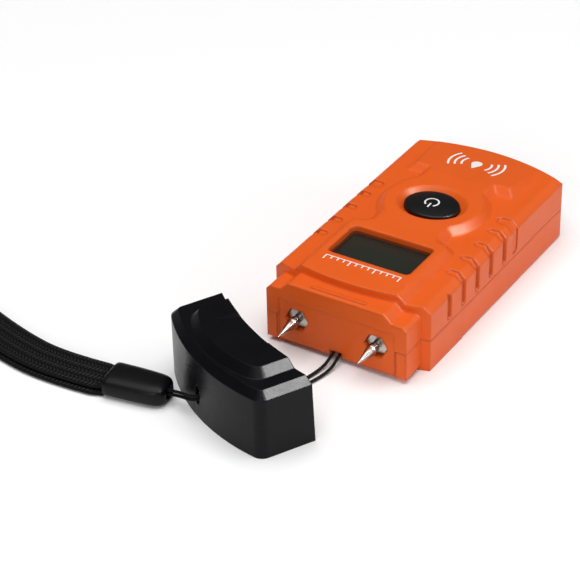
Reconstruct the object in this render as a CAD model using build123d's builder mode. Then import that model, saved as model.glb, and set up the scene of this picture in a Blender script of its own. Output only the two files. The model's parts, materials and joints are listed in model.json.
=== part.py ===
from build123d import *
from math import cos, radians, sin
import os

os.makedirs("parts", exist_ok=True)

# A pocket pin-type moisture meter with its cap off. The meter lies on its back: +Y runs towards
# the electrodes, +Z out of the display, and the origin is the middle of the flat back.

# ---- casing, seen from above ----
HALF_WIDTH = 20.0
HALF_SIDE = 32.5          # the straight side walls run from -HALF_SIDE to +HALF_SIDE
REAR_BULGE = 4.1          # how far the rounded rear end stands out past the side walls
FRONT_BULGE = 2.8         # the same for the front face
FRONT_Y = HALF_SIDE + FRONT_BULGE
REAR_Y = -HALF_SIDE - REAR_BULGE

# ---- casing, heights ----
SIDE_HEIGHT = 15.0        # top of the side wall, where its chamfer starts
SHOULDER_HEIGHT = 16.7
SIDE_CHAMFER = SHOULDER_HEIGHT - SIDE_HEIGHT
TOP_HEIGHT = 18.6         # top of the raised deck
DECK_BEVEL = 2.0
DECK_ROOT = 15.6          # the deck is drawn from inside the shoulder
PARTING_HEIGHT = 8.1
SEAM = 0.06               # fine gap between the two casing halves
WALL = 1.6
FLOOR = 1.5

# ---- raised deck, measured at the foot of its bevel ----
PANEL_HALF_WIDTH = 14.3
SPINE_HALF_WIDTH = 10.2
DISPLAY_PANEL_REAR = 8.6
REAR_PANEL_FRONT = -17.4
BOSS_Y = -5.0
BOSS_RADIUS = 13.7
PANEL_CORNER = 3.4
NOTCH_CORNER = 0.6
REAR_PANEL_CORNER = 2.2
SLOPE_START_Y = -17.0     # behind this line the deck falls to the shoulder at the rear edge

# ---- nose that carries the electrodes ----
NOSE_LENGTH = 7.4
NOSE_Y = HALF_SIDE + NOSE_LENGTH
NOSE_HALF_WIDTH = 18.0
NOSE_FLOOR = 1.3
NOSE_SHOULDER = 14.9
NOSE_CHAMFER = 1.0
NOSE_DECK_HALF = 12.2
NOSE_DECK_FOOT = 14.2
NOSE_TOP = 16.8
NOSE_ROOT_Y = 30.0        # the nose starts inside the casing
TONGUE_HALF_WIDTH = 15.2  # front wall of the upper casing that hangs down between the cheeks
TONGUE_BOTTOM = 1.45
TONGUE_THICKNESS = 1.55
PANEL_RECESS = 0.15
PANEL_TOP = 12.5
FIT_GAP = 0.15

# ---- display ----
WINDOW_Y = 19.65
WINDOW_WIDTH = 21.2
WINDOW_LENGTH = 12.5
WINDOW_CORNER = 1.3
WINDOW_DEPTH = 1.3
LENS_TOP = TOP_HEIGHT - WINDOW_DEPTH
LENS_THICKNESS = 1.0
LCD_TOP = 16.2
LCD_THICKNESS = 1.8

# ---- button ----
BUTTON_Y = -4.2
BUTTON_X_RADIUS = 6.75
BUTTON_Y_RADIUS = 5.55
BUTTON_GAP = 0.15
DISH_X_RADIUS = 8.7
DISH_Y_RADIUS = 7.4
DISH_BOTTOM = 17.2
BUTTON_BASE = 15.0
FLANGE_TOP = 15.8
FLANGE_REACH = 0.9
BUTTON_CROWN_TOP = 18.65
CROWN_RADIUS = 34.0
BOSS_ROOF = 16.0

# ---- electronics ----
BOARD_BOTTOM = 11.8
BOARD_THICKNESS = 1.6
BOARD_TOP = BOARD_BOTTOM + BOARD_THICKNESS
BOARD_HALF_WIDTH = 13.0
CELL_Y = -17.5
CELL_RADIUS = 10.0
CELL_THICKNESS = 3.2
CELL_COUNT = 3
CELL_BOTTOM = 1.9
WELL_RADIUS = 10.25
WELL_WALL = 1.2

BOARD_REAR_Y = -31.0
BOARD_FRONT_Y = 31.0
LCD_HALF_WIDTH = 12.0
LCD_REAR_Y = 11.8
LCD_FRONT_Y = 27.6
SWITCH_TOP = 14.4
PLUNGER_RADIUS = 1.5

# ---- electrodes ----
ELECTRODE_X = 10.2
ELECTRODE_Z = 7.8
ELECTRODE_TIP_Y = 47.6
CONE_BASE_Y = 41.6
CONE_RADIUS = 1.25
SHANK_RADIUS = 1.0
NUT_FACE_Y = NOSE_Y - 1.2
NUT_THICKNESS = 2.0
NUT_FLAT = 2.45           # half the distance across flats
POCKET_FLAT = 2.6
SHANK_REAR_Y = 30.0
SOCKET_FRONT_Y = NUT_FACE_Y - NUT_THICKNESS

# ---- battery door ----
DOOR_HALF_WIDTH = 11.5
DOOR_FRONT_Y = -5.2
DOOR_BOTTOM = 0.15
DOOR_THICKNESS = 1.2
DOOR_TOP = DOOR_BOTTOM + DOOR_THICKNESS
RAIL_REACH = 0.8
RAIL_THICKNESS = 0.6
DOOR_GAP = 0.15
DOOR_ROOF = 1.8
RAIL_BOTTOM = 0.6
RAIL_REAR_Y = -31.0
THUMB_Y = -9.0
TRAY_HALF_WIDTH = 14.5
TRAY_FRONT_Y = -3.5
TRAY_REAR_Y = -31.5
TRAY_TOP = 3.2
RELIEF_FRONT_Y = 17.5

# ---- fasteners ----
CASE_SCREWS = [(-16.0, -24.0), (16.0, -24.0), (-16.0, 26.0), (16.0, 26.0)]
BOARD_SCREWS = [(-10.5, -28.5), (10.5, -28.5), (-10.8, 8.6), (10.8, 8.6)]
CASE_POST_RADIUS = 2.6
SCREW_CORE = 0.95
SCREW_CLEARANCE = 1.2
SCREW_HEAD_RADIUS = 1.9
HEAD_SEAT = 2.6
CASE_SCREW_END = 13.0
BOARD_POST_RADIUS = 1.7
BOARD_SCREW_CORE = 0.7
BOARD_SCREW_CLEARANCE = 0.85

# ---- lanyard eye ----
PIN_Y = 36.6
PIN_RADIUS = 0.45
EYE_HALF_WIDTH = 1.5
EYE_FLOOR = 2.1
EYE_ROOF = 3.7
MOUTH_TOP = 2.65          # the opening in the nose that the two strands come out of

# ---- cap, in its own plane ----
CAP_TURN = -28.0          # degrees the cap lies turned from its seated direction
CAP_X = 6.4
CAP_Y = 57.6
CAP_SIDE = 13.3
CAP_BULGE = 4.1
CAP_DECK_INSET = 4.2
CAP_DECK_HALF = 15.1     # half width of the cap's raised deck at the foot of its bevel
CAP_SIDE_WALL = 1.35
CAP_END_WALL = 1.0
CAP_FLOOR = 1.0
CAP_ROOF = 15.3
CAP_DECK_ROOF = 17.25
CAP_SLOT_X = 0.5
CAP_SLOT_WIDTH = 1.8
CAP_SLOT_BOTTOM = 3.6
CAP_SLOT_TOP = 8.4
SCOOP_X = 0.5
SCOOP_HALF_WIDTH = 6.9
SCOOP_REACH = 9.0
SCOOP_DEPTH = 0.5
SCOOP_RUNOUT = 3.0        # its far end fades out over this width
RIM_LEAN = 0.75
CAP_CORNER = 2.8
CAP_INNER_CORNER = 1.6
CAP_INNER = HALF_WIDTH - 1.5
CAP_DECK_CORNER = 4.2
CAP_DECK_SAG = 2.0
CAP_DECK_FOOT = 14.6
CAP_DECK_INNER = 12.6
CAP_DECK_DEPTH = 8.2

# ---- strap and cord ----
CORD_RADIUS = 0.35
STRAP_WIDTH = 9.5
STRAP_THICKNESS = 1.15
FERRULE_NOSE = (23.5, 71.3)
FERRULE_TURN = 8.0
FERRULE_LENGTH = 14.4
FERRULE_NOSE_WIDTH = 6.6
FERRULE_WIDTH = 9.2
FERRULE_HEIGHT = 5.0

CAP_PLANE = Plane(
    origin=(CAP_X, CAP_Y, 0),
    x_dir=(cos(radians(CAP_TURN)), sin(radians(CAP_TURN)), 0),
    z_dir=(0, 0, 1),
)


def level(height):
    return Plane.XY.offset(height)


def facing_front(y):
    """Upright plane across the meter, drawn in X and Z; a negative extrusion runs to +Y."""
    return Plane.XZ.offset(-y)


def save(builder, name):
    builder.part.label = name
    export_step(builder.part, f"parts/{name}.step")


def casing_lines(inset=0.0, front_inset=0.0):
    """Closed plan outline of the casing: straight sides with an arc at each end."""
    x = HALF_WIDTH - inset
    front = HALF_SIDE - front_inset
    rear = -HALF_SIDE + inset
    with BuildLine() as lines:
        Line((x, rear), (x, front))
        ThreePointArc((x, front), (0, FRONT_Y - front_inset), (-x, front))
        Line((-x, front), (-x, rear))
        ThreePointArc((-x, rear), (0, REAR_Y + inset), (x, rear))
    return lines.edges()


def casing_outline(plane, inset=0.0):
    with BuildSketch(plane) as outline:
        make_face(casing_lines(inset, inset))
    return outline.sketch


def deck_outline(plane):
    """Foot of the raised deck: display panel, round boss, rear panel and the spine joining them."""
    with BuildSketch(plane) as deck:
        with Locations((0, (DISPLAY_PANEL_REAR + FRONT_Y + 1) / 2)):
            Rectangle(2 * PANEL_HALF_WIDTH, FRONT_Y + 1 - DISPLAY_PANEL_REAR)
        with Locations((0, (REAR_PANEL_FRONT + REAR_Y - 1) / 2)):
            Rectangle(2 * PANEL_HALF_WIDTH, REAR_PANEL_FRONT - REAR_Y + 1)
        Rectangle(2 * SPINE_HALF_WIDTH, 2 * HALF_SIDE)
        with Locations((0, BOSS_Y)):
            Circle(BOSS_RADIUS)
        inner = deck.vertices().filter_by(
            lambda v: abs(abs(v.X) - SPINE_HALF_WIDTH) < 0.01 and v.Y > BOSS_Y + BOSS_RADIUS / 4
        )
        fillet(inner, NOTCH_CORNER)
        outer = deck.vertices().filter_by(
            lambda v: abs(abs(v.X) - PANEL_HALF_WIDTH) < 0.01 and abs(v.Y) < HALF_SIDE - 5
        )
        fillet(outer.filter_by(lambda v: v.Y > 0), PANEL_CORNER)
        fillet(outer.filter_by(lambda v: v.Y < 0), REAR_PANEL_CORNER)
        make_face(casing_lines(SIDE_CHAMFER), mode=Mode.INTERSECT)
    return deck.sketch


def nose_profile(plane, bottom):
    with BuildSketch(plane) as profile:
        with BuildLine():
            Polyline(
                (NOSE_HALF_WIDTH, bottom),
                (NOSE_HALF_WIDTH, NOSE_SHOULDER - NOSE_CHAMFER),
                (NOSE_HALF_WIDTH - NOSE_CHAMFER, NOSE_SHOULDER),
                (NOSE_DECK_FOOT, NOSE_SHOULDER),
                (NOSE_DECK_HALF, NOSE_TOP),
                (-NOSE_DECK_HALF, NOSE_TOP),
                (-NOSE_DECK_FOOT, NOSE_SHOULDER),
                (-NOSE_HALF_WIDTH + NOSE_CHAMFER, NOSE_SHOULDER),
                (-NOSE_HALF_WIDTH, NOSE_SHOULDER - NOSE_CHAMFER),
                (-NOSE_HALF_WIDTH, bottom),
                close=True,
            )
        make_face()
    return profile.sketch


def box(x0, x1, y0, y1, z0, z1, mode=Mode.ADD):
    """Upright block between two corners, drawn as a rectangle and raised."""
    with BuildSketch(level(z0)) as plan:
        with Locations(((x0 + x1) / 2, (y0 + y1) / 2)):
            Rectangle(x1 - x0, y1 - y0)
    extrude(plan.sketch, amount=z1 - z0, mode=mode)


def post(x, y, radius, z0, z1, mode=Mode.ADD):
    with BuildSketch(level(z0)) as plan:
        with Locations((x, y)):
            Circle(radius)
    extrude(plan.sketch, amount=z1 - z0, mode=mode)


# ---------------------------------------------------------------- upper casing
GROOVE_YS = [23.8 - 6.6 * n for n in range(5)]
GROOVE_WIDTH = 1.8
GROOVE_DEPTH = 0.7
GROOVE_BOTTOM = 8.9
GROOVE_RUNOUT_X = 16.6
SHOULDER_CUT = 0.35
STEP_Y = -9.2
STEP_WIDTH = 2.6
STEP_DEPTH = 0.25
NOSE_ROOF = 13.4
NOSE_WALL = 1.5
TONGUE_BACK_Y = NOSE_Y - TONGUE_THICKNESS
SNAP_HALF_WIDTH = 7.0
SNAP_Y = 38.2


def grip_groove(side, y, width, depth, over_shoulder=True):
    """One round-ended groove up the side wall and, if asked, over its chamfer onto the shoulder."""
    floor_x = HALF_WIDTH - depth
    low = GROOVE_BOTTOM + width / 2
    with BuildSketch(facing_front(y - width / 2)) as profile:
        with BuildLine():
            Polyline(
                (side * (HALF_WIDTH + 1), low),
                (side * floor_x, low),
                (side * floor_x, SIDE_HEIGHT - 0.3),
                (side * (floor_x - SIDE_CHAMFER + 0.3), SHOULDER_HEIGHT - SHOULDER_CUT),
                (side * GROOVE_RUNOUT_X, SHOULDER_HEIGHT - SHOULDER_CUT),
                (side * GROOVE_RUNOUT_X, SHOULDER_HEIGHT + 1),
                (side * (HALF_WIDTH + 1), SHOULDER_HEIGHT + 1),
                close=True,
            )
        make_face()
        if not over_shoulder:
            with Locations((side * HALF_WIDTH, SIDE_HEIGHT + 1.2)):
                Rectangle(12, 3.6, mode=Mode.SUBTRACT)
    extrude(profile.sketch, amount=-width, mode=Mode.SUBTRACT)
    heights = [low] if over_shoulder else [low, SIDE_HEIGHT - 0.6]
    for z in heights:
        with BuildSketch(Plane.YZ.offset(side * floor_x)) as end:
            with Locations((y, z)):
                Circle(width / 2)
        extrude(end.sketch, amount=side * 2, mode=Mode.SUBTRACT)
    if over_shoulder:
        post(side * GROOVE_RUNOUT_X, y, width / 2, SHOULDER_HEIGHT - SHOULDER_CUT, TOP_HEIGHT,
             Mode.SUBTRACT)


def ellipse(plane, x_radius, y_radius, y):
    with BuildSketch(plane) as plan:
        with Locations((0, y)):
            Ellipse(x_radius, y_radius)
    return plan.sketch


def hex_bar(x, flat, y_front, length, mode=Mode.ADD):
    """Hexagonal bar along Y with two corners on the X direction."""
    with BuildSketch(facing_front(y_front)) as plan:
        with Locations((x, ELECTRODE_Z)):
            RegularPolygon(flat, 6, major_radius=False)
    extrude(plan.sketch, amount=length, mode=mode)


def bar_along_y(x, z, radius, y_front, length, mode=Mode.ADD):
    with BuildSketch(facing_front(y_front)) as plan:
        with Locations((x, z)):
            Circle(radius)
    extrude(plan.sketch, amount=length, mode=mode)


with BuildPart() as front_casing:
    # side walls and shoulder, down to the seam
    seam_top = PARTING_HEIGHT + SEAM / 2
    extrude(casing_outline(level(seam_top)), amount=SHOULDER_HEIGHT - seam_top)
    shoulder = front_casing.faces().sort_by(Axis.Z)[-1]
    chamfer(shoulder.edges().filter_by(lambda e: e.center().Y < HALF_SIDE), SIDE_CHAMFER)

with BuildPart() as deck:
    # raised deck with its bevels, falling away towards the rear
    extrude(deck_outline(level(DECK_ROOT)), amount=TOP_HEIGHT - DECK_ROOT)
    deck_top = deck.faces().sort_by(Axis.Z)[-1]
    chamfer(deck_top.edges().filter_by(lambda e: abs(e.center().Y) < HALF_SIDE - 1), DECK_BEVEL)
    with BuildSketch(Plane.YZ):
        with BuildLine():
            Polyline(
                (SLOPE_START_Y, TOP_HEIGHT),
                (REAR_Y + SIDE_CHAMFER, SHOULDER_HEIGHT - 0.02),
                (REAR_Y - 1, SHOULDER_HEIGHT - 0.2),
                (REAR_Y - 1, TOP_HEIGHT + 1),
                (SLOPE_START_Y, TOP_HEIGHT + 1),
                close=True,
            )
        make_face()
    extrude(amount=HALF_WIDTH, both=True, mode=Mode.SUBTRACT)

with BuildPart() as upper:
    add(front_casing.part)
    add(deck.part)
    # the nose, down to the parting line
    extrude(nose_profile(facing_front(NOSE_Y), seam_top), amount=NOSE_Y - NOSE_ROOT_Y)
    # hollow under the shoulder and inside the nose
    extrude(casing_outline(level(PARTING_HEIGHT), WALL), amount=SIDE_HEIGHT - PARTING_HEIGHT,
            mode=Mode.SUBTRACT)
    box(-NOSE_HALF_WIDTH + NOSE_WALL, NOSE_HALF_WIDTH - NOSE_WALL, HALF_SIDE - 3, TONGUE_BACK_Y,
        PARTING_HEIGHT, NOSE_ROOF, Mode.SUBTRACT)
    # room for the display module under the window
    box(-LCD_HALF_WIDTH - 0.3, LCD_HALF_WIDTH + 0.3, LCD_REAR_Y - 0.3, LCD_FRONT_Y + 0.3,
        PARTING_HEIGHT, LCD_TOP + 0.15, Mode.SUBTRACT)
    # window opening, with a ledge the lens is glued to
    with BuildSketch(level(LENS_TOP - LENS_THICKNESS)):
        with Locations((0, WINDOW_Y)):
            RectangleRounded(WINDOW_WIDTH, WINDOW_LENGTH, WINDOW_CORNER)
    extrude(amount=TOP_HEIGHT, mode=Mode.SUBTRACT)
    box(-WINDOW_WIDTH / 2 + 1, WINDOW_WIDTH / 2 - 1, WINDOW_Y - WINDOW_LENGTH / 2 + 1,
        WINDOW_Y + WINDOW_LENGTH / 2 - 1, PARTING_HEIGHT, TOP_HEIGHT, Mode.SUBTRACT)
    # dish, bore and inner recess of the button
    with BuildSketch(level(DISH_BOTTOM)):
        with Locations((0, BUTTON_Y)):
            Ellipse(BUTTON_X_RADIUS + 0.45, BUTTON_Y_RADIUS + 0.45)
    with BuildSketch(level(TOP_HEIGHT + 0.01)):
        with Locations((0, BUTTON_Y)):
            Ellipse(DISH_X_RADIUS, DISH_Y_RADIUS)
    loft(mode=Mode.SUBTRACT)
    bore = ellipse(level(PARTING_HEIGHT), BUTTON_X_RADIUS + BUTTON_GAP, BUTTON_Y_RADIUS + BUTTON_GAP,
                   BUTTON_Y)
    extrude(bore, amount=TOP_HEIGHT, mode=Mode.SUBTRACT)
    recess = ellipse(level(PARTING_HEIGHT), BUTTON_X_RADIUS + 1.3, BUTTON_Y_RADIUS + 1.3, BUTTON_Y)
    extrude(recess, amount=BOSS_ROOF - PARTING_HEIGHT, mode=Mode.SUBTRACT)
    # screw posts, standing down from the roof
    for x, y in CASE_SCREWS:
        post(x, y, CASE_POST_RADIUS, seam_top, SIDE_HEIGHT + 0.5)
        post(x, y, SCREW_CORE, seam_top, SIDE_HEIGHT - 1.0, Mode.SUBTRACT)
    for x, y in BOARD_SCREWS:
        post(x, y, BOARD_POST_RADIUS, BOARD_TOP, SIDE_HEIGHT + 0.3)
        post(x, y, BOARD_SCREW_CORE, BOARD_TOP, SIDE_HEIGHT, Mode.SUBTRACT)
    # tongue that closes the front of the nose between the cheeks of the lower casing
    box(-TONGUE_HALF_WIDTH, TONGUE_HALF_WIDTH, TONGUE_BACK_Y, NOSE_Y, TONGUE_BOTTOM, seam_top + 1)
    box(-EYE_HALF_WIDTH, EYE_HALF_WIDTH, TONGUE_BACK_Y - 1, NOSE_Y + 1, TONGUE_BOTTOM - 1, MOUTH_TOP,
        Mode.SUBTRACT)
    box(-TONGUE_HALF_WIDTH + 0.3, TONGUE_HALF_WIDTH - 0.3, NOSE_Y - PANEL_RECESS, NOSE_Y + 1,
        TONGUE_BOTTOM - 1, PANEL_TOP, Mode.SUBTRACT)
    for x in (-ELECTRODE_X, ELECTRODE_X):
        hex_bar(x, POCKET_FLAT, NOSE_Y + 1, 4, Mode.SUBTRACT)
    # bar that the cap snaps behind
    box(-SNAP_HALF_WIDTH, SNAP_HALF_WIDTH, SNAP_Y - 0.45, SNAP_Y + 0.45, NOSE_TOP - 0.3, NOSE_TOP + 0.22)
    for side in (-1, 1):
        for y in GROOVE_YS:
            grip_groove(side, y, GROOVE_WIDTH, GROOVE_DEPTH, y < GROOVE_YS[0])
        grip_groove(side, STEP_Y + STEP_WIDTH / 2, STEP_WIDTH, STEP_DEPTH)
save(upper, "front_casing")

# ---------------------------------------------------------------- lower casing
seam_bottom = PARTING_HEIGHT - SEAM / 2
with BuildPart() as back_casing:
    extrude(casing_outline(level(0)), amount=seam_bottom)
    extrude(nose_profile(facing_front(NOSE_Y), NOSE_FLOOR), amount=NOSE_Y - NOSE_ROOT_Y)
    box(-HALF_WIDTH - 1, HALF_WIDTH + 1, REAR_Y - 1, NOSE_Y + 1, seam_bottom, TOP_HEIGHT + 1, Mode.SUBTRACT)
    # hollow inside
    extrude(casing_outline(level(FLOOR), WALL), amount=TOP_HEIGHT, mode=Mode.SUBTRACT)
    box(-NOSE_HALF_WIDTH + NOSE_WALL, NOSE_HALF_WIDTH - NOSE_WALL, HALF_SIDE - 3, TONGUE_BACK_Y - FIT_GAP,
        EYE_FLOOR, TOP_HEIGHT, Mode.SUBTRACT)
    # opening for the tongue of the upper casing, between two cheeks
    box(-TONGUE_HALF_WIDTH - FIT_GAP, TONGUE_HALF_WIDTH + FIT_GAP, TONGUE_BACK_Y - FIT_GAP, NOSE_Y + 1,
        -1, TOP_HEIGHT, Mode.SUBTRACT)
    # tray over the battery door, and the well round the cells
    box(-TRAY_HALF_WIDTH, TRAY_HALF_WIDTH, TRAY_REAR_Y, TRAY_FRONT_Y, FLOOR - 0.2, TRAY_TOP)
    post(0, CELL_Y, WELL_RADIUS + WELL_WALL, TRAY_TOP - 0.2, CELL_BOTTOM + 2.4 * CELL_THICKNESS)
    post(0, CELL_Y, WELL_RADIUS, -1, TOP_HEIGHT, Mode.SUBTRACT)
    # the door's opening, out through the rear end, with a groove each side for its rails
    box(-DOOR_HALF_WIDTH, DOOR_HALF_WIDTH, REAR_Y - 1, DOOR_FRONT_Y, -1, DOOR_ROOF, Mode.SUBTRACT)
    box(-DOOR_HALF_WIDTH - RAIL_REACH, DOOR_HALF_WIDTH + RAIL_REACH, REAR_Y - 1, DOOR_FRONT_Y,
        RAIL_BOTTOM - DOOR_GAP, RAIL_BOTTOM + RAIL_THICKNESS + DOOR_GAP, Mode.SUBTRACT)
    # riser slot in the well's wall for the cell contact
    box(CELL_RADIUS - 0.5, WELL_RADIUS + WELL_WALL + 1, CELL_Y - 2.1, CELL_Y + 2.1, TRAY_TOP, TOP_HEIGHT,
        Mode.SUBTRACT)
    # posts for the casing screws, counterbored from below
    for x, y in CASE_SCREWS:
        post(x, y, CASE_POST_RADIUS, FLOOR - 0.2, seam_bottom)
        post(x, y, SCREW_CLEARANCE, -1, seam_bottom, Mode.SUBTRACT)
        post(x, y, SCREW_HEAD_RADIUS + 0.15, -1, HEAD_SEAT, Mode.SUBTRACT)
    # eye for the lanyard pin, behind the mouth in the nose
    box(-EYE_HALF_WIDTH - 1, EYE_HALF_WIDTH + 1, PIN_Y - 3, TONGUE_BACK_Y - FIT_GAP, EYE_FLOOR - 0.2,
        EYE_ROOF + 1.2)
    box(-EYE_HALF_WIDTH, EYE_HALF_WIDTH, PIN_Y - 2, NOSE_Y, EYE_FLOOR, EYE_ROOF, Mode.SUBTRACT)
    box(-EYE_HALF_WIDTH, EYE_HALF_WIDTH, PIN_Y + 0.8, NOSE_Y, -1, EYE_ROOF, Mode.SUBTRACT)
    post(0, PIN_Y, PIN_RADIUS, NOSE_FLOOR + 0.2, EYE_ROOF + 1.2, Mode.SUBTRACT)
    # relief along the bottom edges
    for side in (-1, 1):
        with BuildSketch(facing_front(RELIEF_FRONT_Y)):
            with BuildLine():
                Polyline(
                    (side * (HALF_WIDTH + 0.1), -0.1),
                    (side * (HALF_WIDTH - 0.6), -0.1),
                    (side * (HALF_WIDTH + 0.1), 0.6),
                    close=True,
                )
            make_face()
        extrude(amount=RELIEF_FRONT_Y - REAR_Y, mode=Mode.SUBTRACT)
save(back_casing, "back_casing")

# ---------------------------------------------------------------- battery door and power
with BuildPart() as battery_door:
    with BuildSketch(level(DOOR_BOTTOM)):
        make_face(casing_lines(0.2))
        with Locations((0, (DOOR_FRONT_Y + REAR_Y) / 2 - 5)):
            Rectangle(2 * DOOR_HALF_WIDTH - 2 * DOOR_GAP, DOOR_FRONT_Y - REAR_Y + 10 - 2 * DOOR_GAP,
                      mode=Mode.INTERSECT)
    extrude(amount=DOOR_THICKNESS)
    box(-DOOR_HALF_WIDTH - RAIL_REACH + DOOR_GAP, DOOR_HALF_WIDTH + RAIL_REACH - DOOR_GAP, RAIL_REAR_Y,
        DOOR_FRONT_Y - DOOR_GAP, RAIL_BOTTOM, RAIL_BOTTOM + RAIL_THICKNESS)
    for n in range(4):
        box(-5, 5, THUMB_Y - 1.8 * n, THUMB_Y - 1.8 * n + 0.8, DOOR_BOTTOM - 1, DOOR_BOTTOM + 0.3,
            Mode.SUBTRACT)
save(battery_door, "battery_door")

with BuildPart() as coin_cells:
    for n in range(CELL_COUNT):
        cell_base = CELL_BOTTOM + n * CELL_THICKNESS
        post(0, CELL_Y, CELL_RADIUS, cell_base, cell_base + CELL_THICKNESS - 0.02)
save(coin_cells, "coin_cells")

with BuildPart() as battery_contact_positive:
    box(-6, 6, CELL_Y - 4, CELL_Y + 4, DOOR_TOP, DOOR_TOP + 0.3)
save(battery_contact_positive, "battery_contact_positive")

stack_top = CELL_BOTTOM + CELL_COUNT * CELL_THICKNESS
with BuildPart() as battery_contact_negative:
    box(-3, 3, CELL_Y - 8, CELL_Y + 8, stack_top + 0.05, BOARD_BOTTOM)
save(battery_contact_negative, "battery_contact_negative")

with BuildPart() as cell_riser:
    box(CELL_RADIUS + 0.15, CELL_RADIUS + 0.45, CELL_Y - 1.8, CELL_Y + 1.8, TRAY_TOP + 0.3, BOARD_BOTTOM)
    box(CELL_RADIUS + 0.15, CELL_RADIUS + 2.0, CELL_Y - 1.8, CELL_Y + 1.8, BOARD_BOTTOM - 0.3, BOARD_BOTTOM)
save(cell_riser, "cell_riser")

# ---------------------------------------------------------------- electronics
with BuildPart() as circuit_board:
    with BuildSketch(level(BOARD_BOTTOM)):
        with Locations((0, (BOARD_REAR_Y + BOARD_FRONT_Y) / 2)):
            RectangleRounded(2 * BOARD_HALF_WIDTH, BOARD_FRONT_Y - BOARD_REAR_Y, 1.0)
        with Locations(*BOARD_SCREWS):
            Circle(BOARD_SCREW_CLEARANCE, mode=Mode.SUBTRACT)
    extrude(amount=BOARD_THICKNESS)
save(circuit_board, "circuit_board")

with BuildPart() as lcd_module:
    box(-LCD_HALF_WIDTH, LCD_HALF_WIDTH, LCD_REAR_Y, LCD_FRONT_Y, LCD_TOP - LCD_THICKNESS, LCD_TOP)
save(lcd_module, "lcd_module")

with BuildPart() as lcd_holder:
    box(-LCD_HALF_WIDTH, LCD_HALF_WIDTH, LCD_REAR_Y, LCD_FRONT_Y, BOARD_TOP, LCD_TOP - LCD_THICKNESS)
    box(-LCD_HALF_WIDTH + 1, LCD_HALF_WIDTH - 1, LCD_REAR_Y + 0.6, LCD_FRONT_Y - 0.6, BOARD_TOP - 1,
        LCD_TOP, Mode.SUBTRACT)
save(lcd_holder, "lcd_holder")

with BuildPart() as zebra_strips:
    for y in (LCD_REAR_Y + 1.5, LCD_FRONT_Y - 1.5):
        box(-LCD_HALF_WIDTH + 1.3, LCD_HALF_WIDTH - 1.3, y - 0.7, y + 0.7, BOARD_TOP,
            LCD_TOP - LCD_THICKNESS)
save(zebra_strips, "zebra_strips")

with BuildPart() as lcd_window:
    with BuildSketch(level(LENS_TOP - LENS_THICKNESS)):
        with Locations((0, WINDOW_Y)):
            RectangleRounded(WINDOW_WIDTH - 0.1, WINDOW_LENGTH - 0.1, WINDOW_CORNER)
    extrude(amount=LENS_THICKNESS)
save(lcd_window, "lcd_window")

with BuildPart() as controller_chip:
    box(-3.5, 3.5, 15.0, 22.0, BOARD_BOTTOM - 1.6, BOARD_BOTTOM)
save(controller_chip, "controller_chip")

with BuildPart() as board_components:
    for x, y in [(-8, 15), (-8, 18), (-8, 21), (8, 15), (8, 18), (8, 21), (-3, 26), (0, 26), (3, 26)]:
        box(x - 1.0, x + 1.0, y - 0.6, y + 0.6, BOARD_BOTTOM - 0.6, BOARD_BOTTOM)
save(board_components, "board_components")

with BuildPart() as crystal_can:
    bar_along_y(-8.0, BOARD_BOTTOM - 1.0, 1.0, 9.5, 6.0)
save(crystal_can, "crystal_can")

# ---------------------------------------------------------------- button and switch
with BuildPart() as set_button:
    extrude(ellipse(level(BUTTON_BASE), BUTTON_X_RADIUS, BUTTON_Y_RADIUS, BUTTON_Y),
            amount=BUTTON_CROWN_TOP - BUTTON_BASE)
    with Locations((0, BUTTON_Y, BUTTON_CROWN_TOP - CROWN_RADIUS)):
        Sphere(CROWN_RADIUS, mode=Mode.INTERSECT)
    flange = ellipse(level(BUTTON_BASE), BUTTON_X_RADIUS + FLANGE_REACH, BUTTON_Y_RADIUS + FLANGE_REACH,
                     BUTTON_Y)
    extrude(flange, amount=FLANGE_TOP - BUTTON_BASE)
save(set_button, "set_button")

with BuildPart() as tact_switch_body:
    box(-3, 3, BUTTON_Y - 3, BUTTON_Y + 3, BOARD_TOP, SWITCH_TOP)
    post(0, BUTTON_Y, PLUNGER_RADIUS + 0.08, BOARD_TOP + 0.2, SWITCH_TOP, Mode.SUBTRACT)
save(tact_switch_body, "tact_switch_body")

with BuildPart() as switch_plunger:
    post(0, BUTTON_Y, PLUNGER_RADIUS, SWITCH_TOP - 0.25, BUTTON_BASE)
save(switch_plunger, "switch_plunger")

# ---------------------------------------------------------------- electrodes
for side, name in ((1, "electrode_left"), (-1, "electrode_right")):
    with BuildPart() as electrode:
        with BuildSketch(level(ELECTRODE_Z)):
            with BuildLine():
                Polyline(
                    (0, SHANK_REAR_Y),
                    (SHANK_RADIUS, SHANK_REAR_Y),
                    (SHANK_RADIUS, NOSE_Y + 0.2),
                    (SHANK_RADIUS + 0.2, NOSE_Y + 0.2),
                    (SHANK_RADIUS + 0.2, NOSE_Y + 0.55),
                    (SHANK_RADIUS, NOSE_Y + 0.55),
                    (SHANK_RADIUS, NOSE_Y + 0.8),
                    (SHANK_RADIUS + 0.2, NOSE_Y + 0.8),
                    (SHANK_RADIUS + 0.2, NOSE_Y + 1.15),
                    (SHANK_RADIUS, NOSE_Y + 1.15),
                    (SHANK_RADIUS, CONE_BASE_Y),
                    (CONE_RADIUS + 0.15, CONE_BASE_Y),
                    (CONE_RADIUS, CONE_BASE_Y + 0.5),
                    (0.06, ELECTRODE_TIP_Y),
                    (0, ELECTRODE_TIP_Y),
                    close=True,
                )
            make_face()
        revolve(axis=Axis((0, 0, ELECTRODE_Z), (0, 1, 0)))
    shifted = Pos(side * ELECTRODE_X, 0, 0) * electrode.part
    shifted.label = name
    export_step(shifted, f"parts/{name}.step")

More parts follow.
